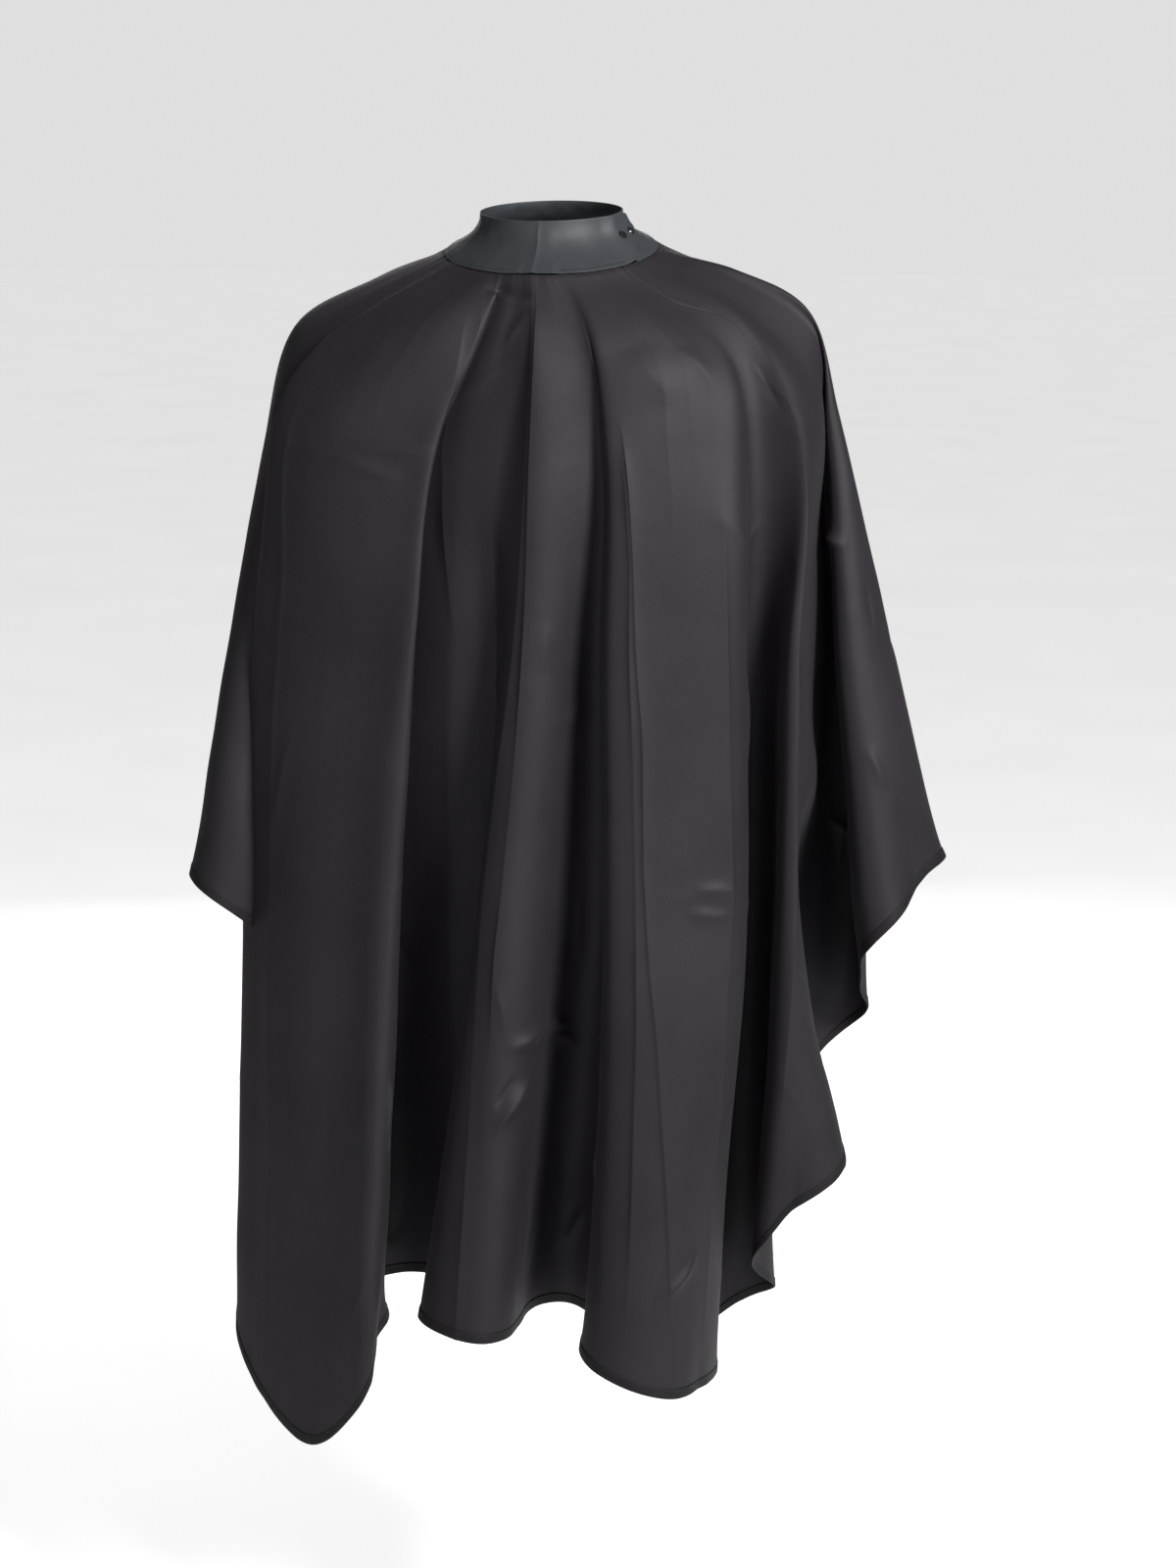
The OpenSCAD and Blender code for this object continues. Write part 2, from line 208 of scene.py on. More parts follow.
def flat_edge(p):
    """A point on the edge of the cut sheet, p metres round from the middle of its back edge."""
    w, back = SHEET_W / 2, SHEET_L - FRONT_L
    r, arc = CORNER_R, CORNER_R * math.pi / 2
    runs = [
        ("line", w - r, (0, back), (-1, 0)),
        ("arc", arc, (-w + r, back - r), 90),
        ("line", SHEET_L - 2 * r, (-w, back - r), (0, -1)),
        ("arc", arc, (-w + r, -FRONT_L + r), 180),
        ("line", SHEET_W - 2 * r, (-w + r, -FRONT_L), (1, 0)),
        ("arc", arc, (w - r, -FRONT_L + r), 270),
        ("line", SHEET_L - 2 * r, (w, -FRONT_L + r), (0, 1)),
        ("arc", arc, (w - r, back - r), 0),
        ("line", w - r, (w - r, back), (-1, 0)),
    ]
    out = np.zeros((len(p), 2))
    start = 0.0
    for kind, length, origin, way in runs:
        here = (p >= start - 1e-9) & (p <= start + length + 1e-9)
        d = p[here] - start
        if kind == "line":
            out[here] = np.array(origin) + d[:, None] * np.array(way)
        else:
            a = np.radians(way) + d / r
            out[here] = np.array(origin) + r * np.stack([np.cos(a), np.sin(a)], -1)
        start += length
    return out


def perimeter():
    """The length of the cut sheet's edge."""
    return 2 * (SHEET_W + SHEET_L) - (8 - 2 * math.pi) * CORNER_R


def corner_places():
    """How far round the edge each anchor lies: back middle, corners and front middle in turn."""
    arc = CORNER_R * math.pi / 2
    rear = SHEET_W / 2 - CORNER_R + arc / 2
    front = rear + arc + SHEET_L - 2 * CORNER_R
    half = perimeter() / 2
    return [0, rear, front, half, 2 * half - front, 2 * half - rear, 2 * half]


SPACED_FROM = 30          # the ribs' spacing is measured from this row down


def hung_ribs(shares):
    """Every rib at the same shares of its length."""
    rows = []
    for angle, *points in RIBS:
        p = np.vstack([seam_point(angle), np.array(points) * MM])
        k = np.concatenate([[0], np.cumsum(np.linalg.norm(np.diff(p, axis=0), axis=1))])
        rows.append(cubic(k / k[-1], p, shares))
    return np.array(rows)


def make_guide():
    """The guide shape of the cloth: places, flat places and the rib number of each column."""
    shares = np.linspace(0, 1, ROWS + 1)
    ribs = hung_ribs(shares)
    n = len(RIBS)
    gaps = np.linalg.norm(np.roll(ribs, -1, axis=0) - ribs, axis=2)
    hem = gaps[:, -1]
    knots = np.concatenate([[0], np.cumsum(gaps[:, SPACED_FROM:].mean(1))])
    # spread the edge of the cut over the ribs, evenly between one anchor and the next
    places = corner_places()
    at_rib = np.zeros(n + 1)
    for (i, j), (a, b) in zip(zip(ANCHOR_RIBS, ANCHOR_RIBS[1:]), zip(places, places[1:])):
        run = np.concatenate([[0], np.cumsum(hem[i:j])])
        at_rib[i : j + 1] = a + (b - a) * run / run[-1]
    p = np.arange(COLS) * perimeter() / COLS
    u = cubic(at_rib, knots, p)
    hung = cubic_ring(knots[:-1], ribs, knots[-1], u)
    angles = np.array([r[0] for r in RIBS] + [180.0])
    seam = np.radians(cubic(knots, angles, u))
    hole_w, hole_d = SEAM_W - 2 * SEAM_TUCK, SEAM_D - 2 * SEAM_TUCK
    hole = 0.5 * np.stack([hole_w * np.sin(seam), -hole_d * np.cos(seam)], -1)
    edge = flat_edge(p)
    flat = hole[:, None] * (1 - shares[None, :, None]) + edge[:, None] * shares[None, :, None]
    return hung, flat, np.interp(p, at_rib, np.arange(n + 1.0))


def mesh_object(name, points, faces):
    mesh = bpy.data.meshes.new(name)
    mesh.from_pydata(points.reshape(-1, 3).tolist(), [], faces)
    mesh.update()
    obj = bpy.data.objects.new(name, mesh)
    bpy.context.scene.collection.objects.link(obj)
    return obj


def grid_mesh(name, grid, closed=True):
    """A mesh from a grid of points (columns, rows, 3)."""
    c, r = grid.shape[:2]
    index = np.arange(c * r).reshape(c, r)
    nxt = np.roll(index, -1, axis=0) if closed else index[1:]
    cur = index if closed else index[:-1]
    quads = np.stack([cur[:, :-1], cur[:, 1:], nxt[:, 1:], nxt[:, :-1]], -1).reshape(-1, 4)
    return mesh_object(name, grid, quads.tolist())


def set_uv(obj, uv):
    """Gives the object a UV map, from one pair for each vertex."""
    layer = obj.data.uv_layers.new(name="flat")
    loops = np.empty(len(obj.data.loops), int)
    obj.data.loops.foreach_get("vertex_index", loops)
    layer.data.foreach_set("uv", np.asarray(uv, float).reshape(-1, 2)[loops].ravel())


def shade_smooth(obj):
    obj.data.polygons.foreach_set("use_smooth", [True] * len(obj.data.polygons))


RUN_FADE = 0.3            # how far outside its run of ribs the closer spacing fades out, in ribs


def fine_columns(rib_of):
    """Where the fine columns lie among the coarse ones."""
    c, parts = len(rib_of), 8
    spots = np.arange(c * parts + 1) / parts
    rib = np.interp(spots, np.arange(c + 1.0), np.append(rib_of, len(RIBS)))
    density = np.ones(len(spots))
    for first, last in CREST_RUNS:
        inside = smooth(first - RUN_FADE, first, rib) * (1 - smooth(last, last + RUN_FADE, rib))
        density = np.maximum(density, 1 + (CREST_DENSITY - 1) * inside)
    run = np.concatenate([[0], np.cumsum((density[1:] + density[:-1]) / 2)])
    return np.interp(np.arange(FINE_COLS) / FINE_COLS * run[-1], run, spots)


def resample(grid, columns, parts):
    """The grid at other columns, each gap between rows cut into parts, on smooth curves."""
    c, r = grid.shape[:2]
    grid = cubic_ring(np.arange(c, dtype=float), grid, float(c), columns)
    rows = np.linspace(0, r - 1, (r - 1) * parts + 1)
    return np.swapaxes(cubic(np.arange(r, dtype=float), np.swapaxes(grid, 0, 1), rows), 0, 1)


def grid_normals(grid):
    """The way out of the cloth at each point of the grid."""
    du = np.roll(grid, -1, axis=0) - np.roll(grid, 1, axis=0)
    dv = np.gradient(grid, axis=1)
    return unit(np.cross(dv, du))


# ---------------------------------------------------------------- cloth solver
# Shares: of the speed that a step keeps, and of the error that shear and bending take back
DAMPING, SHEAR, BEND = 0.9, 0.4, 0.5


class Cloth:
    """A ring grid of points that settles by position-based dynamics. WAYS are the pairs of points
    that keep their distance, as steps round and down the grid."""

    WAYS = ((1, 0), (0, 1), (1, 1), (1, -1), (2, 0), (0, 2))

    def __init__(self, guide, flat, mix, hold):
        self.guide, self.x, self.last = guide, guide.copy(), guide.copy()
        self.hold = hold[..., None]
        self.rest = {way: self.rest_length(way, guide, flat, mix) for way in self.WAYS}

    @staticmethod
    def ends(grid, way):
        """The values at the two ends of every pair that lies this way."""
        dc, dr = way
        other = np.roll(grid, -dc, 0)
        if dr > 0:
            return grid[:, :-dr], other[:, dr:]
        if dr < 0:
            return grid[:, -dr:], other[:, :dr]
        return grid, other

    def rest_length(self, way, guide, flat, mix):
        """Round the cape, lengths go to the cut's by the share mix. Down it they stay the guide's."""
        def lengths(grid, w):
            a, b = self.ends(grid, w)
            return np.linalg.norm(b - a, axis=-1)

        m = self.ends(mix, way)[0]
        if way[1] == 0:
            return lengths(guide, way) * (1 - m) + lengths(flat, way) * m
        if way[0] == 0:
            return lengths(guide, way)
        a, b = self.ends(flat, way)
        dc = np.roll(flat, -1, 0) - flat
        across = np.linalg.norm(dc, axis=-1)
        dr = np.diff(flat, axis=1)
        down = np.linalg.norm(dr, axis=-1)
        slant = (dc[:, :-1] * dr).sum(-1) / (across[:, :-1] * down)
        g_across = lengths(guide, (1, 0))
        lu = (g_across * (1 - mix) + across * mix)[:, :-1]
        lv = lengths(guide, (0, 1))
        true = np.sqrt(lu**2 + lv**2 + 2 * way[1] * lu * lv * slant)
        return lengths(guide, way) * (1 - m) + true * m

    def pull(self, way, stiff):
        """Moves the pairs towards their rest lengths, in two turns, so that no pair shares a point."""
        dc, dr = way
        c, r = self.x.shape[:2]
        step = 4 if 2 in way else 2
        for first in range(2):
            runs = (first,) if step == 2 else (2 * first, 2 * first + 1)
            if dc == 0:
                i = np.concatenate([np.arange(k, r - dr, step) for k in runs])
                a, b, rest = (slice(None), i), (slice(None), i + dr), self.rest[way][:, i]
            else:
                i = np.concatenate([np.arange(k, c, step) for k in runs])
                rows_a = slice(max(-dr, 0), r - max(dr, 0))
                rows_b = slice(max(dr, 0), r - max(-dr, 0))
                a, b, rest = (i, rows_a), ((i + dc) % c, rows_b), self.rest[way][i]
            pa, pb = self.x[a], self.x[b]
            d = pb - pa
            n = np.sqrt((d * d).sum(-1))
            move = (0.5 * stiff * (n - rest) / np.maximum(n, 1e-9))[..., None] * d
            self.x[a] = pa + move
            self.x[b] = pb - move

    def fair(self, amount):
        """Bending stiffness, by moving each point towards a smoother line."""
        for axis in (0, 1):
            y = self.x
            if axis == 0:
                l2 = np.roll(y, 1, 0) + np.roll(y, -1, 0) - 2 * y
                l4 = np.roll(l2, 1, 0) + np.roll(l2, -1, 0) - 2 * l2
            else:
                l2, l4 = np.zeros_like(y), np.zeros_like(y)
                l2[:, 1:-1] = y[:, 2:] + y[:, :-2] - 2 * y[:, 1:-1]
                l4[:, 1:-1] = l2[:, 2:] + l2[:, :-2] - 2 * l2[:, 1:-1]
            self.x = y - amount * (1 - self.hold) * l4 / (1 + axis)

    def run(self, steps, fall, fairing):
        for _ in range(steps):
            speed = (self.x - self.last) * DAMPING
            self.last = self.x.copy()
            self.x = self.x + speed
            self.x[..., 2] -= fall
            for way, stiff in (
                ((1, 0), 1), ((0, 1), 1), ((1, 1), SHEAR), ((1, -1), SHEAR),
                ((2, 0), BEND), ((0, 2), BEND), ((0, 1), 1), ((1, 0), 1),
            ):
                self.pull(way, stiff)
            self.x += self.hold * (self.guide - self.x)
            self.fair(fairing)


def twice(grid):
    return resample(grid, np.arange(2 * len(grid)) / 2, 2)


# The share of the cut's width that lengths round the cape take, rising between two distances from
# the seam
MIX_MOST, MIX_FROM, MIX_TO = 0.65, 0.12, 0.5
# The pull back to the guide at each step, by the seam and far from it, changing between two distances
HOLD_NEAR, HOLD_FAR, HOLD_FROM, HOLD_TO = 0.6, 0.004, 0.02, 0.28
# Ribs that are held harder: the sides, the back corners and the folds that the photograph shows
HELD_RIBS = {
    3: 0.15, 5: 0.4, 8: 0.3, 11: 0.3, 12: 0.3, 13: 0.1, 14: 0.1, 16: 0.3, 18: 0.3, 20: 0.3, 22: 0.3,
    23: 0.15, 24: 0.15, 25: 0.3, 27: 0.3,
}
HELD_WIDE = 2.0           # how far from such a rib the hold reaches, in columns
# Between these ribs the cloth hangs nearly flat, so it takes only this share of the cut's extra width
FLAT_RUNS = ((8, 11), (12.5, 15), (18, 20))
FLAT_SHARE, FLAT_FADE = 0.35, 0.4
# Each pass of the solver: it takes every so many points of the guide, for so many steps
PASSES = ((4, 400), (2, 200))
FALL = 5e-6               # drop in one step, on a grid of every point
FAIRING = 0.04


def drape(guide, flat, rib_of):
    """Lets the cloth settle from its guide, on a coarse grid first and then on a finer one."""
    columns = np.arange(len(rib_of))
    grip = np.zeros(len(rib_of))
    for rib, strength in HELD_RIBS.items():
        middle = np.interp(rib, rib_of, columns)
        grip = np.maximum(grip, strength * np.exp(-(((columns - middle) / HELD_WIDE) ** 2)))
    slack = np.ones(len(rib_of))
    for first, last in FLAT_RUNS:
        begun = smooth(first - FLAT_FADE, first + FLAT_FADE, rib_of)
        ended = smooth(last - FLAT_FADE, last + FLAT_FADE, rib_of)
        slack -= (1 - FLAT_SHARE) * (begun * (1 - ended))
    flat = np.concatenate([flat, np.zeros(flat.shape[:2] + (1,))], -1)
    reach = np.linalg.norm(flat - flat[:, :1], axis=-1)
    moved = None
    for stride, steps in PASSES:
        g, f, d = guide[::stride, ::stride], flat[::stride, ::stride], reach[::stride, ::stride]
        near = (1 - smooth(HOLD_FROM, HOLD_TO, d)) ** 2
        hold = np.maximum(HOLD_FAR + (HOLD_NEAR - HOLD_FAR) * near, grip[::stride, None])
        hold[:, 0] = 1
        mix = MIX_MOST * smooth(MIX_FROM, MIX_TO, d) * slack[::stride, None]
        cloth = Cloth(g, f, mix, hold)
        if moved is not None:
            cloth.x = g + twice(moved)
            cloth.last = cloth.x.copy()
        cloth.run(steps, FALL * stride**2, FAIRING)
        moved = cloth.x - g
    while moved.shape[0] < guide.shape[0]:
        moved = twice(moved)
    return guide + moved


# ---------------------------------------------------------------- small helpers for pieces
def finish_piece(obj, body, material):
    shade_smooth(obj)
    obj.data.materials.append(material)
    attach(obj, body)
    return obj


def tube_mesh(name, rings, closed):
    """A skin over rings of points (rings, points, 3), each ring a closed outline."""
    n, m = rings.shape[:2]
    index = np.arange(n * m).reshape(n, m)
    cur, nxt = (index, np.roll(index, -1, 0)) if closed else (index[:-1], index[1:])
    quads = np.stack([cur, nxt, np.roll(nxt, -1, 1), np.roll(cur, -1, 1)], -1).reshape(-1, 4)
    faces = quads.tolist()
    if not closed:
        faces += [index[0].tolist(), index[-1][::-1].tolist()]
    return mesh_object(name, rings, faces)


def many(name, template, faces, places, frames):
    """Copies of a small shape: places (n, 3) and frames (n, 3, 3) whose rows are its axes."""
    points = np.einsum("pk,nkj->npj", template, frames) + places[:, None]
    count = len(template)
    all_faces = [[v + count * i for v in f] for i in range(len(places)) for f in faces]
    return mesh_object(name, points, all_faces)


def stitch_shape(length, thick):
    """One stitch: a short thread that dips at both ends. Its axes: along, across, out."""
    sides = 6
    # share of the length, share of the thickness, height in half thicknesses
    spots = [(-0.5, 0.35, -0.6), (-0.3, 0.9, 0.1), (0, 1, 0.3), (0.3, 0.9, 0.1), (0.5, 0.35, -0.6)]
    points = [
        (x * length, wide * thick / 2 * math.cos(a), thick / 2 * (wide * math.sin(a) + lift))
        for x, wide, lift in spots
        for a in (2 * math.pi * k / sides for k in range(sides))
    ]
    faces = []
    for i in range(len(spots) - 1):
        for k in range(sides):
            j = (k + 1) % sides
            faces.append([i * sides + k, i * sides + j, (i + 1) * sides + j, (i + 1) * sides + k])
    faces.append(list(range(sides))[::-1])
    faces.append([(len(spots) - 1) * sides + k for k in range(sides)])
    return np.array(points), faces


def stitch_row(name, line, out, pitch, length, thick, closed):
    """Stitches along a line of points, standing on the side that out points to."""
    ends = np.concatenate([line, line[:1]]) if closed else line
    outs = np.concatenate([out, out[:1]]) if closed else out
    run = np.concatenate([[0], np.cumsum(np.linalg.norm(np.diff(ends, axis=0), axis=1))])
    count = int(run[-1] / pitch)
    at = (np.arange(count) + 0.5) * run[-1] / count

    def read(values, places):
        return np.stack([np.interp(places, run, values[:, k]) for k in range(3)], -1)

    o = unit(read(outs, at))
    along = unit(read(ends, at + pitch / 4) - read(ends, at - pitch / 4))
    across = unit(np.cross(o, along))
    o = np.cross(along, across)
    template, faces = stitch_shape(length, thick)
    return many(name, template, faces, read(ends, at), np.stack([along, across, o], 1))


# ---------------------------------------------------------------- materials
class Nodes:
    """Short ways to add nodes to one material."""

    def __init__(self, name):
        self.mat = bpy.data.materials.new(name)
        self.mat.use_nodes = True
        self.tree = self.mat.node_tree
        self.shader = self.tree.nodes["Principled BSDF"]
        self.body = self.add("ShaderNodeTexCoord").outputs["Object"]

    def add(self, kind, inputs=None, **settings):
        node = self.tree.nodes.new(kind)
        for key, value in settings.items():
            setattr(node, key, value)
        for key, value in (inputs or {}).items():
            if isinstance(value, bpy.types.NodeSocket):
                self.tree.links.new(value, node.inputs[key])
            else:
                node.inputs[key].default_value = value
        return node

    def noise(self, vector, scale, detail=3, rough=0.5):
        return self.add(
            "ShaderNodeTexNoise", {"Vector": vector, "Scale": scale, "Detail": detail, "Roughness": rough}
        ).outputs["Fac"]

    def wave(self, vector, scale, direction):
        return self.add(
            "ShaderNodeTexWave", {"Vector": vector, "Scale": scale}, bands_direction=direction
        ).outputs["Fac"]

    def ramp(self, fac, low, high, color_a, color_b):
        node = self.add("ShaderNodeValToRGB", {"Fac": fac})
        node.color_ramp.elements[0].position = low
        node.color_ramp.elements[1].position = high
        node.color_ramp.elements[0].color = (*color_a, 1)
        node.color_ramp.elements[1].color = (*color_b, 1)
        return node.outputs["Color"]

    def span(self, fac, to_low, to_high):
        return self.add(
            "ShaderNodeMapRange", {"Value": fac, "To Min": to_low, "To Max": to_high}
        ).outputs["Result"]

    def math(self, operation, a, b):
        node = self.add("ShaderNodeMath", operation=operation)
        for k, value in enumerate((a, b)):
            if isinstance(value, bpy.types.NodeSocket):
                self.tree.links.new(value, node.inputs[k])
            else:
                node.inputs[k].default_value = value
        return node.outputs[0]

    def bump(self, height, strength, distance, normal=None):
        inputs = {"Height": height, "Strength": strength, "Distance": distance}
        if normal is not None:
            inputs["Normal"] = normal
        return self.add("ShaderNodeBump", inputs).outputs["Normal"]

    def set(self, **values):
        for key, value in values.items():
            socket = self.shader.inputs[key.replace("_", " ")]
            if isinstance(value, bpy.types.NodeSocket):
                self.tree.links.new(value, socket)
            else:
                socket.default_value = value
        return self.mat


def weave_height(n, where, pitch):
    """Threads over and under each other, as a height from 0 to 1."""
    # a wave texture of scale 1 repeats every pi / 10
    scale = math.pi / 10 / pitch
    warp = n.wave(where, scale, "X")
    weft = n.wave(where, scale, "Y")
    return n.math("MAXIMUM", warp, weft)


def cape_material():
    n = Nodes("cape_polyester")
    where = n.add("ShaderNodeUVMap", uv_map="flat").outputs["UV"]
    tone = n.noise(n.body, 7, 4, 0.6)
    grain = n.noise(where, 620, 3, 0.8)
    mixed = n.math("ADD", n.math("MULTIPLY", tone, 0.45), n.math("MULTIPLY", grain, 0.55))
    color = n.ramp(mixed, 0.36, 0.64, (0.0088, 0.0070, 0.0096), (0.0185, 0.0150, 0.0198))
    rough = n.span(n.noise(n.body, 18, 3), 0.60, 0.70)
    weave = n.bump(weave_height(n, where, 0.0007), 0.12, 0.0002)
    soft = n.bump(n.noise(n.body, 55, 4, 0.55), 0.10, 0.004, weave)
    return n.set(
        Base_Color=color, Roughness=rough, Normal=soft,
        Sheen_Weight=0.03, Sheen_Roughness=0.4, Sheen_Tint=(1, 0.92, 1, 1),
        Specular_IOR_Level=0.3,
    )


def tape_material():
    n = Nodes("hem_tape_fabric")
    where = n.add("ShaderNodeUVMap", uv_map="flat").outputs["UV"]
    color = n.ramp(n.noise(n.body, 60, 3), 0.3, 0.7, (0.0060, 0.0050, 0.0062), (0.0095, 0.0080, 0.0098))
    weave = n.bump(weave_height(n, where, 0.0006), 0.25, 0.0002)
    puckers = n.bump(n.noise(n.body, 420, 2), 0.25, 0.0008, weave)
    return n.set(
        Base_Color=color, Roughness=n.span(n.noise(n.body, 90, 2), 0.55, 0.7), Normal=puckers,
        Sheen_Weight=0.02, Sheen_Roughness=0.4, Specular_IOR_Level=0.25,
    )


def thread_material():
    n = Nodes("polyester_thread")
    color = n.ramp(n.noise(n.body, 900, 2), 0.3, 0.7, (0.006, 0.006, 0.007), (0.018, 0.017, 0.018))
    twist = n.bump(n.wave(n.body, 500, "DIAGONAL"), 0.4, 0.0001)
    return n.set(Base_Color=color, Roughness=0.45, Normal=twist)


def rubber_material():
    n = Nodes("neckband_rubber")
    tone = n.noise(n.body, 22, 5, 0.6)
    color = n.ramp(tone, 0.3, 0.72, (0.023, 0.027, 0.031), (0.031, 0.036, 0.041))
    skin = n.bump(n.noise(n.body, 1500, 3), 0.16, 0.0003)
    dents = n.bump(n.noise(n.body, 140, 3), 0.12, 0.0012, skin)
    return n.set(
        Base_Color=color, Roughness=n.span(n.noise(n.body, 45, 4), 0.56, 0.66), Normal=dents,
        Specular_IOR_Level=0.5,
    )


def snap_material():
    n = Nodes("black_snap_enamel")
    wear = n.noise(n.body, 900, 4, 0.65)
    color = n.ramp(wear, 0.62, 0.78, (0.006, 0.006, 0.007), (0.045, 0.045, 0.048))
    rough = n.span(n.noise(n.body, 350, 3), 0.12, 0.34)
    return n.set(
        Base_Color=color, Roughness=rough, Normal=n.bump(wear, 0.06, 0.0002), Coat_Weight=0.6,
        Coat_Roughness=0.12,
    )


def spring_material():
    n = Nodes("spring_wire")
    color = n.ramp(n.noise(n.body, 700, 3), 0.3, 0.7, (0.42, 0.42, 0.44), (0.60, 0.60, 0.62))
    return n.set(Base_Color=color, Metallic=1.0, Roughness=n.span(n.noise(n.body, 500, 2), 0.18, 0.35))


CAPE, TAPE, THREAD = cape_material(), tape_material(), thread_material()
RUBBER, ENAMEL, WIRE = rubber_material(), snap_material(), spring_material()


# ---------------------------------------------------------------- cape panel
# Crests and valleys. Each is a path of (share of the way down, rib), where it starts and ends as
# shares, its height, and how wide it is towards lower and towards higher ribs, in millimetres.
RIDGES = [
    # the long crest to the right of the middle: its thin line, its body, and some fill at its top
    ([(0, 17.5), (0.04, 17.75), (0.1, 18.1), (0.17, 18.25), (0.27, 18.35), (0.42, 18.45), (0.54, 18.44),
      (0.62, 18.5), (0.73, 18.65), (0.85, 18.8), (1, 19)], 0.14, 0.97, 3.0, 1.8, 5),
    ([(0, 17.6), (0.1, 18.1), (0.27, 18.3), (1, 18.4)], 0.16, 0.97, 3.0, 3, 12),
    ([(0, 17.1), (1, 17.3)], 0.02, 0.22, 3.0, 9, 9),
    # the middle
    ([(0, 15.9), (0.5, 16.0), (1, 16.0)], 0.01, 0.75, 2.8, 3, 9),
    # the edge of the long fold on the left, and the valley beside it
    ([(0, 10.2), (0.12, 11.0), (1, 11.05)], 0.04, 0.97, 3.2, 14, 3),
    ([(0, 10.5), (0.12, 11.2), (0.2, 11.3), (1, 11.35)], 0.10, 0.80, -2.2, 4, 9),
    # two folds that slant down the chest on the left
    ([(0, 10.8), (0.05, 11.6), (0.15, 12.4), (0.2, 12.7), (0.4, 13.2), (1, 13.2)], 0.01, 0.38, 2.2, 6, 9),
    ([(0, 10.4), (0.05, 11.0), (0.15, 11.5), (0.2, 11.6), (1, 11.6)], 0.02, 0.30, 1.8, 5, 9),
    # the outer crests: one on the left, two on the right
    ([(0, 8.0), (1, 8.0)], 0.15, 0.97, 1.4, 7, 5),
    ([(0, 20.0), (1, 20.0)], 0.22, 0.98, 2.8, 9, 3),
    ([(0, 22.0), (1, 22.0)], 0.12, 0.90, 2.6, 8, 3),
    # small soft folds on the chest: three on the right, one on the left
    ([(0, 18.6), (0.06, 18.7), (0.14, 18.8), (0.3, 18.9), (1, 18.9)], 0.01, 0.27, 1.0, 7, 12),
    ([(0, 19.0), (0.1, 19.2), (0.25, 19.4), (1, 19.4)], 0.01, 0.24, 0.8, 7, 12),
    ([(0, 19.5), (0.12, 19.8), (0.25, 19.9), (1, 19.9)], 0.02, 0.22, 0.7, 7, 12),
    ([(0, 9.6), (0.3, 9.3), (1, 9.3)], 0.01, 0.20, 0.8, 5, 9),
]
RIDGE_FADE_IN, RIDGE_FADE_OUT = 0.06, 0.12
# Short wrinkles: place on the cut, way it runs in degrees, half length, half width and height, in mm
WRINKLES = [
    [32, -863, 50, 36, 5, 3.0], [24, -850, 46, 22, 4, -1.8], [419, -981, 43, 32, 5, 2.6],
    [-300, -830, -60, 20, 4, 1.8], [-150, -255, -20, 34, 5, 1.8], [-175, -268, -34, 24, 4, 1.5],
    [-165, -520, 2, 28, 4, 1.5], [450, -101, 40, 34, 5, 2.4], [307, -639, -4, 26, 4, 2.0],
    [310, -661, -3, 28, 4, 1.7], [46, -803, 18, 30, 5, 2.8], [96, -799, -5, 30, 4, 2.4],
    [118, -815, -20, 24, 4, 1.6], [92, -198, -60, 34, 8, 1.6], [118, -192, -52, 30, 8, 1.3],
    [-18, -150, 62, 22, 5, 1.2], [240, -930, 70, 44, 6, 1.8], [-330, -980, 55, 36, 6, 1.8],
    [-430, -860, 60, 34, 5, 1.6], [180, -1010, 62, 32, 5, 1.8], [-110, -900, 75, 30, 5, 1.5],
    [-24, -110, -14, 26, 3, -2.4], [-24, -117, -14, 26, 4, 1.8], [560, -250, 20, 36, 6, 1.6],
    [640, -330, 30, 30, 5, 1.8], [680, -120, 10, 28, 5, 1.6],
]
LOOSE_WRINKLES = 110
WRINKLE_GAIN = 3
# Heights of the smaller shapes, and the distance in which each falls to about a third, in metres
CREASE_HIGH, CREASE_WIDE = 0.0017, 0.008
BROAD_HIGH, BROAD_WIDE = 0.0022, 0.026
CROSS_HIGH, CROSS_WIDE = 0.0009, 0.005
SEAM_PUCKER_HIGH, SEAM_PUCKER_WIDE = 0.0003, 0.025
HEM_PUCKER_HIGH, HEM_PUCKER_WIDE = 0.0008, 0.03
SEAM_RISE, EDGE_RISE, RISE_WIDE = 0.0009, 0.0016, 0.012
PLEAT_HIGH, UNEVEN_HIGH = 0.0002, 0.0012
# Crosswise creases from storage: place along the cut and share of the height
CROSS_CREASES = ((-0.36, 0.6), (-0.65, 1.0), (-0.93, 0.8))


def ridges(grid, rib_fine):
    """Heights of the crests and valleys over the grid."""
    share = np.linspace(0, 1, grid.shape[1])
    steps = np.linalg.norm(np.diff(grid, axis=0), axis=-1)
    run = np.concatenate([np.zeros((1, grid.shape[1])), np.cumsum(steps, 0)])
    columns = np.arange(grid.shape[0])
    out = np.zeros(grid.shape[:2])
    for path, first, last, high, lower, higher in RIDGES:
        rib = np.interp(share, [p[0] for p in path], [p[1] for p in path])
        rib = rib + 0.03 * value_noise(share * 9, share * 0 + high * 7, 81)
        at = np.interp(rib, rib_fine, columns)
        low = np.floor(at).astype(int)
        rows = np.arange(len(share))
        here = run[low, rows]
        here = here + (at - low) * (run[low + 1, rows] - here)
        fade = smooth(first, first + RIDGE_FADE_IN, share) * (1 - smooth(last - RIDGE_FADE_OUT, last, share))
        fade = fade * (0.8 + 0.35 * value_noise(share * 11, share * 0 + lower, 82))
        off = run - here
        wide = np.where(off < 0, lower, higher) * MM
        out += high * MM * fade * np.exp(-np.abs(off) / wide)
    return out


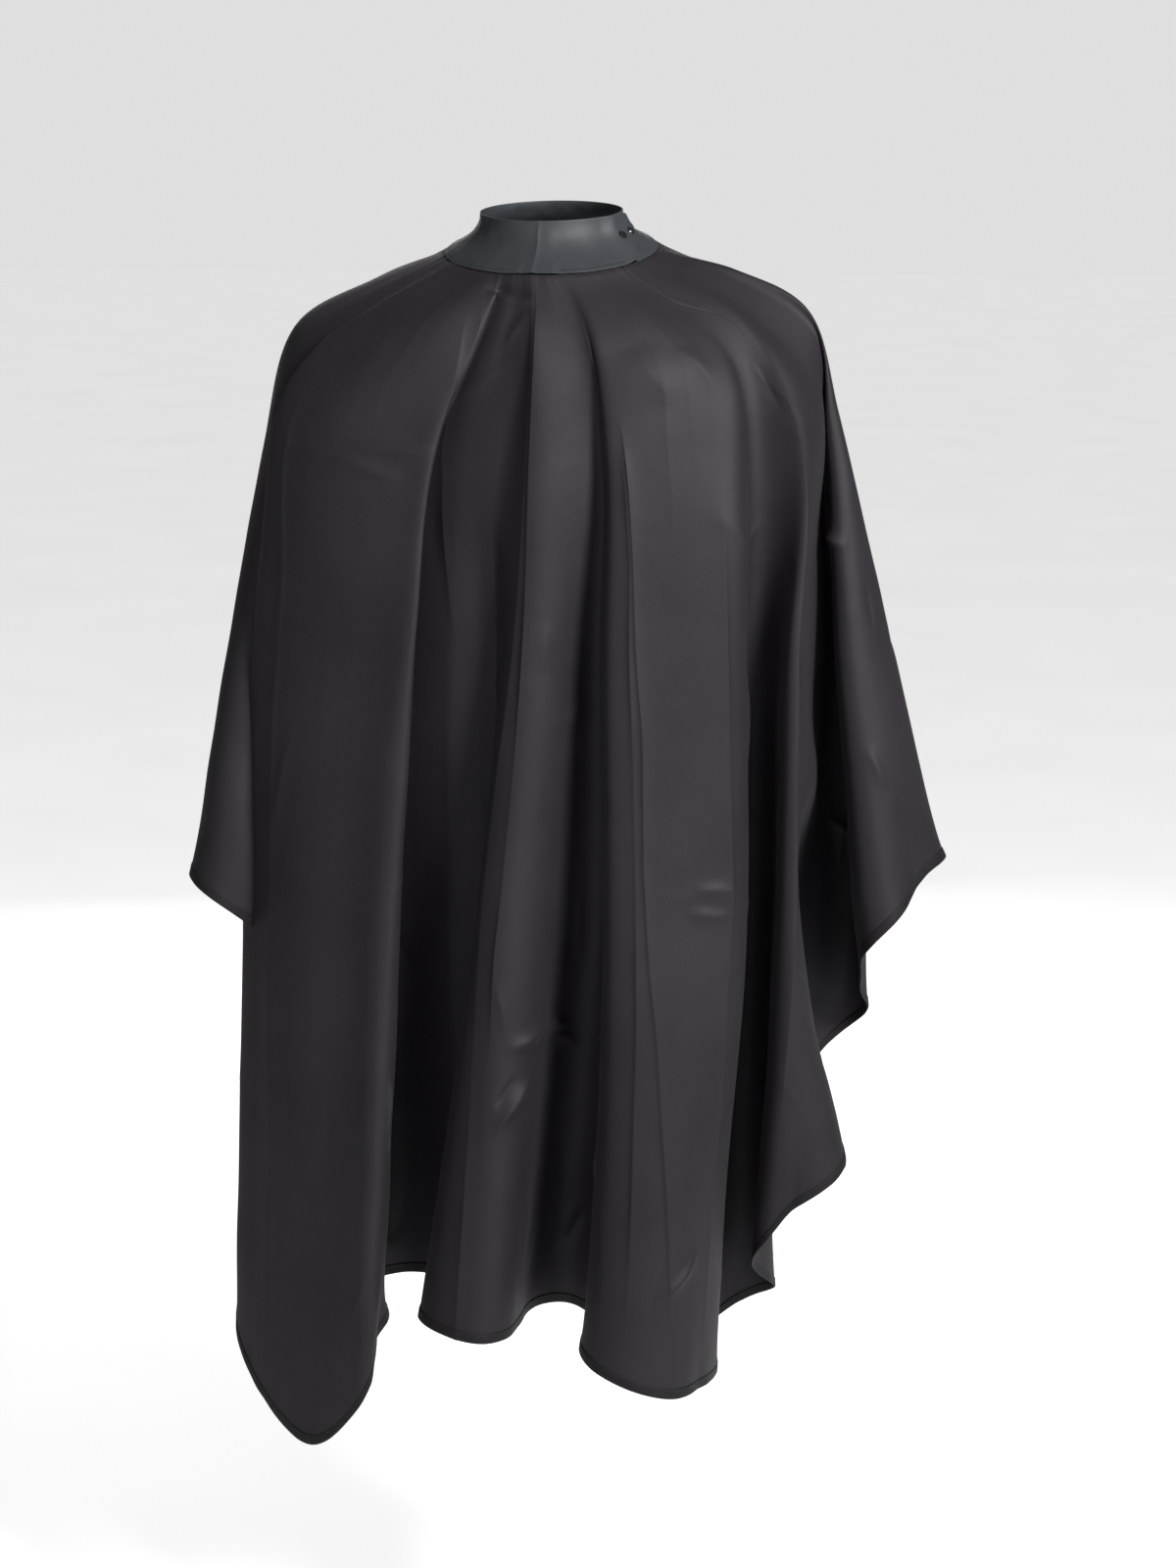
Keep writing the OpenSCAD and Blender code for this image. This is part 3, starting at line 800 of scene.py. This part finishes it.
def wrinkles(x, y):
    """Heights of the short wrinkles at places on the cut."""
    dice = np.random.default_rng(7)
    loose = np.stack(
        [
            dice.uniform(-780, 780, LOOSE_WRINKLES), dice.uniform(-1050, 330, LOOSE_WRINKLES),
            dice.normal(0, 30, LOOSE_WRINKLES), dice.uniform(18, 60, LOOSE_WRINKLES),
            dice.uniform(4, 9, LOOSE_WRINKLES), dice.uniform(-0.9, 1.2, LOOSE_WRINKLES),
        ],
        -1,
    )
    # a loose wrinkle runs roughly away from the neck, because the cloth hangs from there
    loose[:, 2] += np.degrees(np.arctan2(loose[:, 1], loose[:, 0]))
    out = np.zeros(x.shape)
    for cx, cy, way, half, wide, high in np.concatenate([np.array(WRINKLES), loose]):
        c, s = math.cos(math.radians(way)), math.sin(math.radians(way))
        dx, dy = x - cx * MM, y - cy * MM
        along, across = dx * c + dy * s, dy * c - dx * s
        across = across + 0.06 * along * np.sin(along / (half * MM) * 2 + cx)
        near = np.clip(1 - (along / (half * MM)) ** 2, 0, 1) ** 1.5
        soft = np.sqrt(across**2 + (0.25 * wide * MM) ** 2)
        out += WRINKLE_GAIN * high * MM * near * np.exp(-soft / (wide * MM))
    return out


def centre_crease(x, y):
    """The crease down the middle of the front, from being folded for storage."""
    front = smooth(0, -0.15, y)
    wander = x + 0.02 * smooth(-0.2, -0.7, y) - 0.004 * value_noise(y * 5, y * 0 + 3, 11)
    fade = 0.7 + 0.4 * value_noise(y * 6, y * 0, 12)
    sharp = CREASE_HIGH * np.exp(-np.abs(wander) / CREASE_WIDE)
    broad = BROAD_HIGH * np.exp(-np.abs(wander) / BROAD_WIDE)
    return front * fade * (sharp + broad)


def cross_creases(x, y):
    """Creases across the cape, faint and broken."""
    out = np.zeros(x.shape)
    for k, (line, high) in enumerate(CROSS_CREASES):
        bent = y - line - 0.012 * value_noise(x * 4, x * 0 + k, 21 + k)
        gaps = smooth(-0.1, 0.5, value_noise(x * 5 + k, y * 3, 31 + k))
        out += CROSS_HIGH * high * gaps * np.exp(-np.abs(bent) / CROSS_WIDE)
    return out


def seam_shapes(turn, from_seam):
    """Puckers along the neck seam, and the cloth's rise to the edge of the band."""
    waves = value_noise(turn * 12, from_seam * 8, 41) + 0.6 * value_noise(turn * 32, from_seam * 12, 42)
    rise = SEAM_RISE + EDGE_RISE * smooth(0.0015, 0.004, from_seam)
    puckers = SEAM_PUCKER_HIGH * waves * np.exp(-from_seam / SEAM_PUCKER_WIDE)
    return puckers + rise * np.exp(-from_seam / RISE_WIDE)


def hem_puckers(round_hem, from_hem):
    waves = value_noise(round_hem / 0.022, from_hem * 20, 43)
    waves = waves + 0.8 * value_noise(round_hem / 0.06, from_hem * 9, 44)
    return HEM_PUCKER_HIGH * waves * np.exp(-from_hem / HEM_PUCKER_WIDE)


def neck_pleats(turn, from_seam):
    """Soft pleats that run out from the neck."""
    fan = turn + 0.35 * from_seam
    pleats = value_noise(fan * 7.5, from_seam * 4, 45) + 0.5 * value_noise(fan * 15, from_seam * 7, 46)
    return PLEAT_HIGH * pleats * smooth(0, 0.05, from_seam) * (1 - smooth(0.08, 0.34, from_seam))


def unevenness(x, y, from_seam):
    """The slight unevenness of light cloth, which grows away from the seam."""
    broad = value_noise(x * 9 + 7, y * 4, 51) + 0.5 * value_noise(x * 21, y * 9, 52)
    return UNEVEN_HIGH * smooth(0.05, 0.5, from_seam) * broad


def small_shapes(grid, flat, rib_fine, round_hem):
    """Crests, wrinkles, creases and puckers, as moves out of the cloth."""
    x, y = flat[..., 0], flat[..., 1]
    from_seam = np.linalg.norm(flat - flat[:, :1], axis=-1)
    from_hem = np.linalg.norm(flat - flat[:, -1:], axis=-1)
    turn = np.arctan2(x, -y)
    return (
        ridges(grid, rib_fine) + wrinkles(x, y) + centre_crease(x, y) + cross_creases(x, y)
        + seam_shapes(turn, from_seam) + hem_puckers(round_hem, from_hem)
        + neck_pleats(turn, from_seam) + unevenness(x, y, from_seam)
    )


hung, flat, rib_of = make_guide()
settled = drape(hung, flat, rib_of)
columns = fine_columns(rib_of)
fine = resample(np.concatenate([settled, flat], -1), columns, FINE_ROWS)
grid, flat_fine = fine[..., :3], fine[..., 3:]
rib_fine = np.interp(columns, np.arange(COLS + 1.0), np.append(rib_of, len(RIBS)))
hem_places = columns * perimeter() / COLS
normals = grid_normals(grid)
grid = grid + normals * small_shapes(grid, flat_fine, rib_fine, hem_places[:, None])[..., None]
normals = grid_normals(grid)

cape = grid_mesh("cape_panel", grid)
set_uv(cape, flat_fine)
finish_piece(cape, "cape", CAPE)
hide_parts("cape_cloth")


# ---------------------------------------------------------------- hem binding and its stitches
TAPE_STEPS = 2            # rings of the tape to each column of the cloth
# The tape's section in millimetres: distance in from the hem, and height from the cloth's middle
TAPE_OUTLINE = [
    (10.0, 0.20), (9.8, 0.62), (9.0, 0.72), (8.2, 0.66), (5.0, 0.80), (1.6, 0.90), (0.4, 0.70), (-0.3, 0.0),
    (0.4, -0.70), (1.6, -0.90), (5.0, -0.80), (8.2, -0.66), (9.0, -0.72), (9.8, -0.62), (10.0, -0.20),
]
TAPE_FLAT = 8.2           # the stitched line, up to which the tape may pucker, in millimetres
TAPE_WAVES = ((0.006, 0.35, 61, 0.16), (0.015, 0.2, 62, 0.18))
STITCH_INSET, STITCH_LIFT = 0.0082, 0.00072
STITCH_PITCH, STITCH_LONG, STITCH_THICK = 0.0032, 0.0025, 0.00042


def hem_frame(steps):
    """Points round the hem with the ways inward and out, steps to each column of the cloth."""
    c = grid.shape[0]
    both = np.concatenate([grid[:, -1], grid[:, -4], normals[:, -2]], -1)
    both = cubic_ring(np.arange(c, dtype=float), both, float(c), np.arange(c * steps) / steps)
    edge, inner, out = both[:, :3], both[:, 3:6], unit(both[:, 6:])
    return edge, unit(inner - edge), out


def make_tape():
    edge, inward, out = hem_frame(TAPE_STEPS)
    n = len(edge)
    ring = np.append(hem_places, perimeter())
    place = np.interp(np.arange(n) / TAPE_STEPS, np.arange(len(ring), dtype=float), ring)
    rings = []
    for k, (inset, lift) in enumerate(TAPE_OUTLINE):
        wave = 0
        for long, shift, seed, size in TAPE_WAVES:
            wave = wave + value_noise(place / long, 0 * place + k * shift, seed) * size
        tight = math.sin(math.pi * min(max(inset, 0), TAPE_FLAT) / TAPE_FLAT)
        high = lift + wave * tight * (1 if lift >= 0 else -1)
        rings.append(edge + inward * (inset * MM) + out * (high * MM)[:, None])
    rings = np.stack(rings, 1)
    tape = tube_mesh("hem_tape", rings, True)
    across = np.cumsum([0] + [math.dist(a, b) * MM for a, b in zip(TAPE_OUTLINE, TAPE_OUTLINE[1:])])
    uv = np.stack(np.broadcast_arrays(place[:, None], across[None]), -1)
    set_uv(tape, uv)
    return finish_piece(tape, "cape", TAPE)


tape = make_tape()
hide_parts("hem_binding")

edge, inward, out = hem_frame(1)
for side, name in ((1, "hem_stitches_outer"), (-1, "hem_stitches_inner")):
    line = edge + inward * STITCH_INSET + out * (side * STITCH_LIFT)
    row = stitch_row(name, line, out * side, STITCH_PITCH, STITCH_LONG, STITCH_THICK, True)
    finish_piece(row, "cape", THREAD)
    if side == 1:
        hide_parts("hem_thread")


# ---------------------------------------------------------------- neckband
def band_base(a, q):
    """A point on the band's inner face: angle from the front in degrees, share of the way down."""
    a, q = np.broadcast_arrays(np.radians(a), q)
    f = np.maximum(q, 0) ** BAND_FLARE
    yt, yb = -BAND_TOP_D / 2 * np.cos(a), -SEAM_D / 2 * np.cos(a)
    return np.stack(
        [
            (BAND_TOP_W + (SEAM_W - BAND_TOP_W) * f) / 2 * np.sin(a),
            yt + (yb - yt) * f,
            TOP_TILT * yt * (1 - q) + (SEAM_TILT * yb - BAND_DROP) * q,
        ],
        -1,
    )


def band_normal(a, q):
    """The way out of the band, from short steps round it and up it."""
    step = 0.01
    round_it = band_base(a + 1, q) - band_base(a - 1, q)
    up_it = band_base(a, np.maximum(q - step, 0)) - band_base(a, q + step)
    return unit(np.cross(round_it, up_it))


def band_wobble(a, q):
    """The band's own small unevenness, and the crease at its middle."""
    soft = 0.0004 * value_noise(a / 9, q * 3, 71) * smooth(0, 0.3, q)
    off = np.abs(a - 0.6 * value_noise(q * 4, q * 0, 72))
    crease = 0.0006 * np.exp(-off / 1.6) + 0.0019 * smooth(0, 0.5, q) * np.exp(-off / 13)
    edge = 0.00025 * value_noise(a / 2.6, q * 0, 73) * smooth(0.75, 1, q)
    return soft + crease + edge


BAND_ROWS = 26
EDGE_FROM = 0.86          # from here down the band thins by EDGE_THIN and sinks by EDGE_SINK
EDGE_THIN, EDGE_SINK = 0.55, 0.45
BEVEL_W, BEVEL_ANGLE = 0.0002, 50


def band_strip(name, angles, top, bottom, lift):
    """A rubber strip along the angles, from top to bottom of the band, raised by lift (metres)."""
    q = np.linspace(0, 1, BAND_ROWS)
    edge = smooth(EDGE_FROM, 1, q)
    thick = BAND_T / 2 * (1 - EDGE_THIN * edge)
    a = angles[:, None] + 0 * q[None]
    qq = top[:, None] + (bottom - top)[:, None] * q[None]
    middle = band_base(a, qq)
    n = band_normal(a, qq)
    sink = EDGE_SINK * BAND_T * edge
    middle = middle + n * (BAND_T / 2 + lift[:, None, None] + (band_wobble(a, qq) - sink)[..., None])
    outer = middle + n * thick[None, :, None]
    inner = middle - n * thick[None, :, None]
    rings = np.concatenate([outer, inner[:, ::-1]], 1)
    strip = tube_mesh(name, rings, False)
    bevel = strip.modifiers.new("edges", "BEVEL")
    bevel.width, bevel.segments, bevel.limit_method = BEVEL_W, 2, "ANGLE"
    bevel.angle_limit = math.radians(BEVEL_ANGLE)
    return strip


FLAP_ROOT = SLIT_A - 1


def flap_share(a):
    """How far along the flap an angle lies, from 0 at its root to 1 at its tip."""
    return np.clip((a - FLAP_ROOT) / FLAP_REACH, 0, 1)


def flap_top(a):
    """Where the strip's upper edge lies, as a share of the way down the band."""
    return 0.30 * flap_share(a) ** 6


def flap_bottom(a):
    """Where its lower edge lies: the flap narrows towards its round tip."""
    g = flap_share(a)
    return 1 - 0.35 * g**0.6 - 0.13 * g**8


FRONT_FROM = -100.0       # where the front strip of the band meets the rear one
front_angles = np.linspace(FRONT_FROM, FLAP_ROOT + FLAP_REACH, 330)
front_lift = (BAND_T + FLAP_GAP) * smooth(SLIT_A - 12, SLIT_A + 5, front_angles)
front_band = band_strip(
    "band_front_and_flap", front_angles, flap_top(front_angles), flap_bottom(front_angles), front_lift
)
finish_piece(front_band, "cape", RUBBER)
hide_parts("closure_flap")

rear_angles = np.linspace(SLIT_A + 0.6, 360 + FRONT_FROM, 300)
rear_band = band_strip(
    "band_rear", rear_angles, 0 * rear_angles, 0 * rear_angles + 1, 0 * rear_angles
)
finish_piece(rear_band, "cape", RUBBER)
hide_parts("neckband")


front_band.parent = None
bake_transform(front_band)

seam_angles = np.linspace(SLIT_A + FLAP_REACH + 4, 360 + SLIT_A - 3, 400)
seam_rows = np.full(len(seam_angles), 0.955)
SEAM_LONG, SEAM_THICK, SEAM_LIFT = 0.0024, 0.00045, 0.0001
seam_out = band_normal(seam_angles, seam_rows)
seam_off = BAND_T + SEAM_LIFT + band_wobble(seam_angles, seam_rows)
seam_line = band_base(seam_angles, seam_rows) + seam_out * seam_off[:, None]
seam_stitches = stitch_row(
    "neck_seam_stitches", seam_line, seam_out, STITCH_PITCH, SEAM_LONG, SEAM_THICK, False
)
finish_piece(seam_stitches, "cape", THREAD)
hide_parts("neck_seam_thread")


# ---------------------------------------------------------------- slit in the cloth below the flap
def cloth_at(col, dist, lift):
    """Points of the finished cloth at columns and distances down from the seam, raised by lift."""
    c, r = grid.shape[:2]
    i = np.floor(col).astype(int)
    t = (col - i)[..., None]
    a, b = grid[i % c], grid[(i + 1) % c]
    na, nb = normals[i % c], normals[(i + 1) % c]
    length = np.linalg.norm(flat_fine[i % c, -1] - flat_fine[i % c, 0], axis=-1)
    row = np.clip(dist / length * (r - 1), 0, r - 1.001)
    j = np.floor(row).astype(int)
    s = (row - j)[..., None]
    k = np.arange(len(col))

    def pick(g):
        return g[k, j] * (1 - s) + g[k, j + 1] * s

    p = pick(a) * (1 - t) + pick(b) * t
    n = unit(pick(na) * (1 - t) + pick(nb) * t)
    return p + n * lift[..., None]


def column_of_angle(a):
    """The column that leaves the seam nearest to an angle."""
    p = grid[:, 0]
    turn = np.degrees(np.arctan2(p[:, 0] / SEAM_W, -p[:, 1] / SEAM_D))
    return int(np.argmin(np.abs((turn - a + 180) % 360 - 180)))


SLIT_LONG = 0.13
STRIP_FROM = 0.001        # the strips start this far below the seam
TAPER_FROM, TAPER_TO = 0.35, 0.95
LAP_FROM, LAP_TO, LAP_LIFT, LAP_T, LAP_TAPER = -0.009, 0.001, 0.00015, 0.00012, 0.97
FACING_W, FACING_FROM, FACING_LIFT, FACING_T = 0.032, -0.014, -0.0012, 0.0004


def strip_on_cloth(name, col, side_from, side_to, lift, thick, taper=0, steps=60, across=7):
    """A strip of cloth that follows the slit: side distances in metres, + towards the wearer's left."""
    down = np.linspace(STRIP_FROM, SLIT_LONG, steps)
    rings = []
    for d in down:
        pitch = np.linalg.norm(
            cloth_at(np.array([col + 1.0]), np.array([d]), np.zeros(1))
            - cloth_at(np.array([float(col)]), np.array([d]), np.zeros(1))
        )
        narrow = 1 - taper * smooth(TAPER_FROM, TAPER_TO, d / SLIT_LONG)
        w = np.linspace(side_from * narrow, side_to * narrow, across)
        cols = col + w / pitch
        dd = np.full(across, d)
        top = cloth_at(cols, dd, np.full(across, lift + thick / 2))
        low = cloth_at(cols, dd, np.full(across, lift - thick / 2))
        rings.append(np.concatenate([top, low[::-1]]))
    strip = tube_mesh(name, np.array(rings), False)
    uv = np.zeros((steps, 2 * across, 2))
    uv[..., 0] = np.concatenate([np.linspace(side_from, side_to, across)] * 2)
    uv[..., 1] = down[:, None]
    set_uv(strip, uv)
    return strip


slit_col = column_of_angle(SLIT_A)
lap = strip_on_cloth("slit_lap", slit_col, LAP_FROM, LAP_TO, LAP_LIFT, LAP_T, LAP_TAPER)
finish_piece(lap, "cape", CAPE)
facing = strip_on_cloth(
    "slit_facing", slit_col, FACING_FROM, FACING_FROM + FACING_W, FACING_LIFT, FACING_T
)
finish_piece(facing, "cape", CAPE)
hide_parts("slit_underlay")


# ---------------------------------------------------------------- CAD pieces that stay
def dress(node, material):
    """Gives a CAD solid a better material and keeps its mesh."""
    obj = bpy.data.objects[node]
    obj.data.materials.clear()
    obj.data.materials.append(material)


for spot in ("front", "rear"):
    for part in ("stud", "stud_ring", "snap_cap", "socket"):
        dress(f"{spot}_{part}", ENAMEL)
    dress(f"{spot}_socket_spring", WIRE)

# ---------------------------------------------------------------- camera, light, floor
# The camera's height, its distance from the neck's axis, how far it is moved sideways, and its turn
EYE = 0.084
DISTANCE = 3.0
SIDE = 0.0345
AZIMUTH, PITCH = math.radians(10), math.radians(12)
LENS, SENSOR = 47.85, 24  # in millimetres, the sensor's height

camera = bpy.data.objects.new("camera", bpy.data.cameras.new("camera"))
bpy.context.scene.collection.objects.link(camera)
bpy.context.scene.camera = camera
camera.data.sensor_fit = "VERTICAL"
camera.data.sensor_height = SENSOR
camera.data.lens = LENS
camera.location = (
    DISTANCE * math.sin(AZIMUTH) + SIDE * math.cos(AZIMUTH),
    -DISTANCE * math.cos(AZIMUTH) + SIDE * math.sin(AZIMUTH),
    EYE,
)
camera.rotation_euler = (math.pi / 2 - PITCH, 0, AZIMUTH)


def area_light(name, place, target, size, power, color=(1, 1, 1)):
    data = bpy.data.lights.new(name, "AREA")
    data.shape = "DISK"
    data.size = size
    data.energy = power
    data.color = color
    obj = bpy.data.objects.new(name, data)
    bpy.context.scene.collection.objects.link(obj)
    obj.location = place
    way = np.array(target) - np.array(place)
    obj.rotation_euler = (
        math.acos(-way[2] / np.linalg.norm(way)),
        0,
        math.atan2(way[1], way[0]) - math.pi / 2,
    )


area_light("key", (2.1, -1.8, 1.3), (0, 0, -0.4), 0.9, 160)
area_light("fill", (-1.2, -2.9, 0.2), (0, 0, -0.5), 2.0, 16)
area_light("back", (-0.8, 3.0, 0.1), (0, 0, -0.5), 1.8, 36)

# Strength of the world as light and as background, and the floor's own glow for the camera
WORLD_LIGHT, WORLD_SEEN, FLOOR_GLOW = 0.13, 0.74, 0.66
world = bpy.data.worlds.new("studio")
bpy.context.scene.world = world
world.use_nodes = True
world.node_tree.nodes["Background"].inputs["Color"].default_value = (1, 1, 1, 1)
seen = world.node_tree.nodes.new("ShaderNodeLightPath")
strength = world.node_tree.nodes.new("ShaderNodeMapRange")
strength.inputs["To Min"].default_value = WORLD_LIGHT
strength.inputs["To Max"].default_value = WORLD_SEEN
world.node_tree.links.new(seen.outputs["Is Camera Ray"], strength.inputs["Value"])
world.node_tree.links.new(strength.outputs["Result"], world.node_tree.nodes["Background"].inputs["Strength"])
bpy.context.scene.view_settings.view_transform = "Standard"

FLOOR_X, FLOOR_Y, FLOOR_Z = (-20, 20), (-8, 30), -1.5
floor_grid = np.array([[[x, y, FLOOR_Z] for y in FLOOR_Y] for x in FLOOR_X], float)
floor = grid_mesh("floor", floor_grid, closed=False)
floor_nodes = Nodes("pale_floor")
spread = floor_nodes.noise(floor_nodes.body, 2, 3)
floor_color = floor_nodes.ramp(spread, 0.3, 0.7, (0.93, 0.93, 0.93), (0.96, 0.96, 0.96))
floor_seen = floor_nodes.add("ShaderNodeLightPath").outputs["Is Camera Ray"]
floor.data.materials.append(
    floor_nodes.set(
        Base_Color=floor_color, Roughness=0.9, Specular_IOR_Level=0.1, Emission_Color=floor_color,
        Emission_Strength=floor_nodes.math("MULTIPLY", floor_seen, FLOOR_GLOW),
    )
)
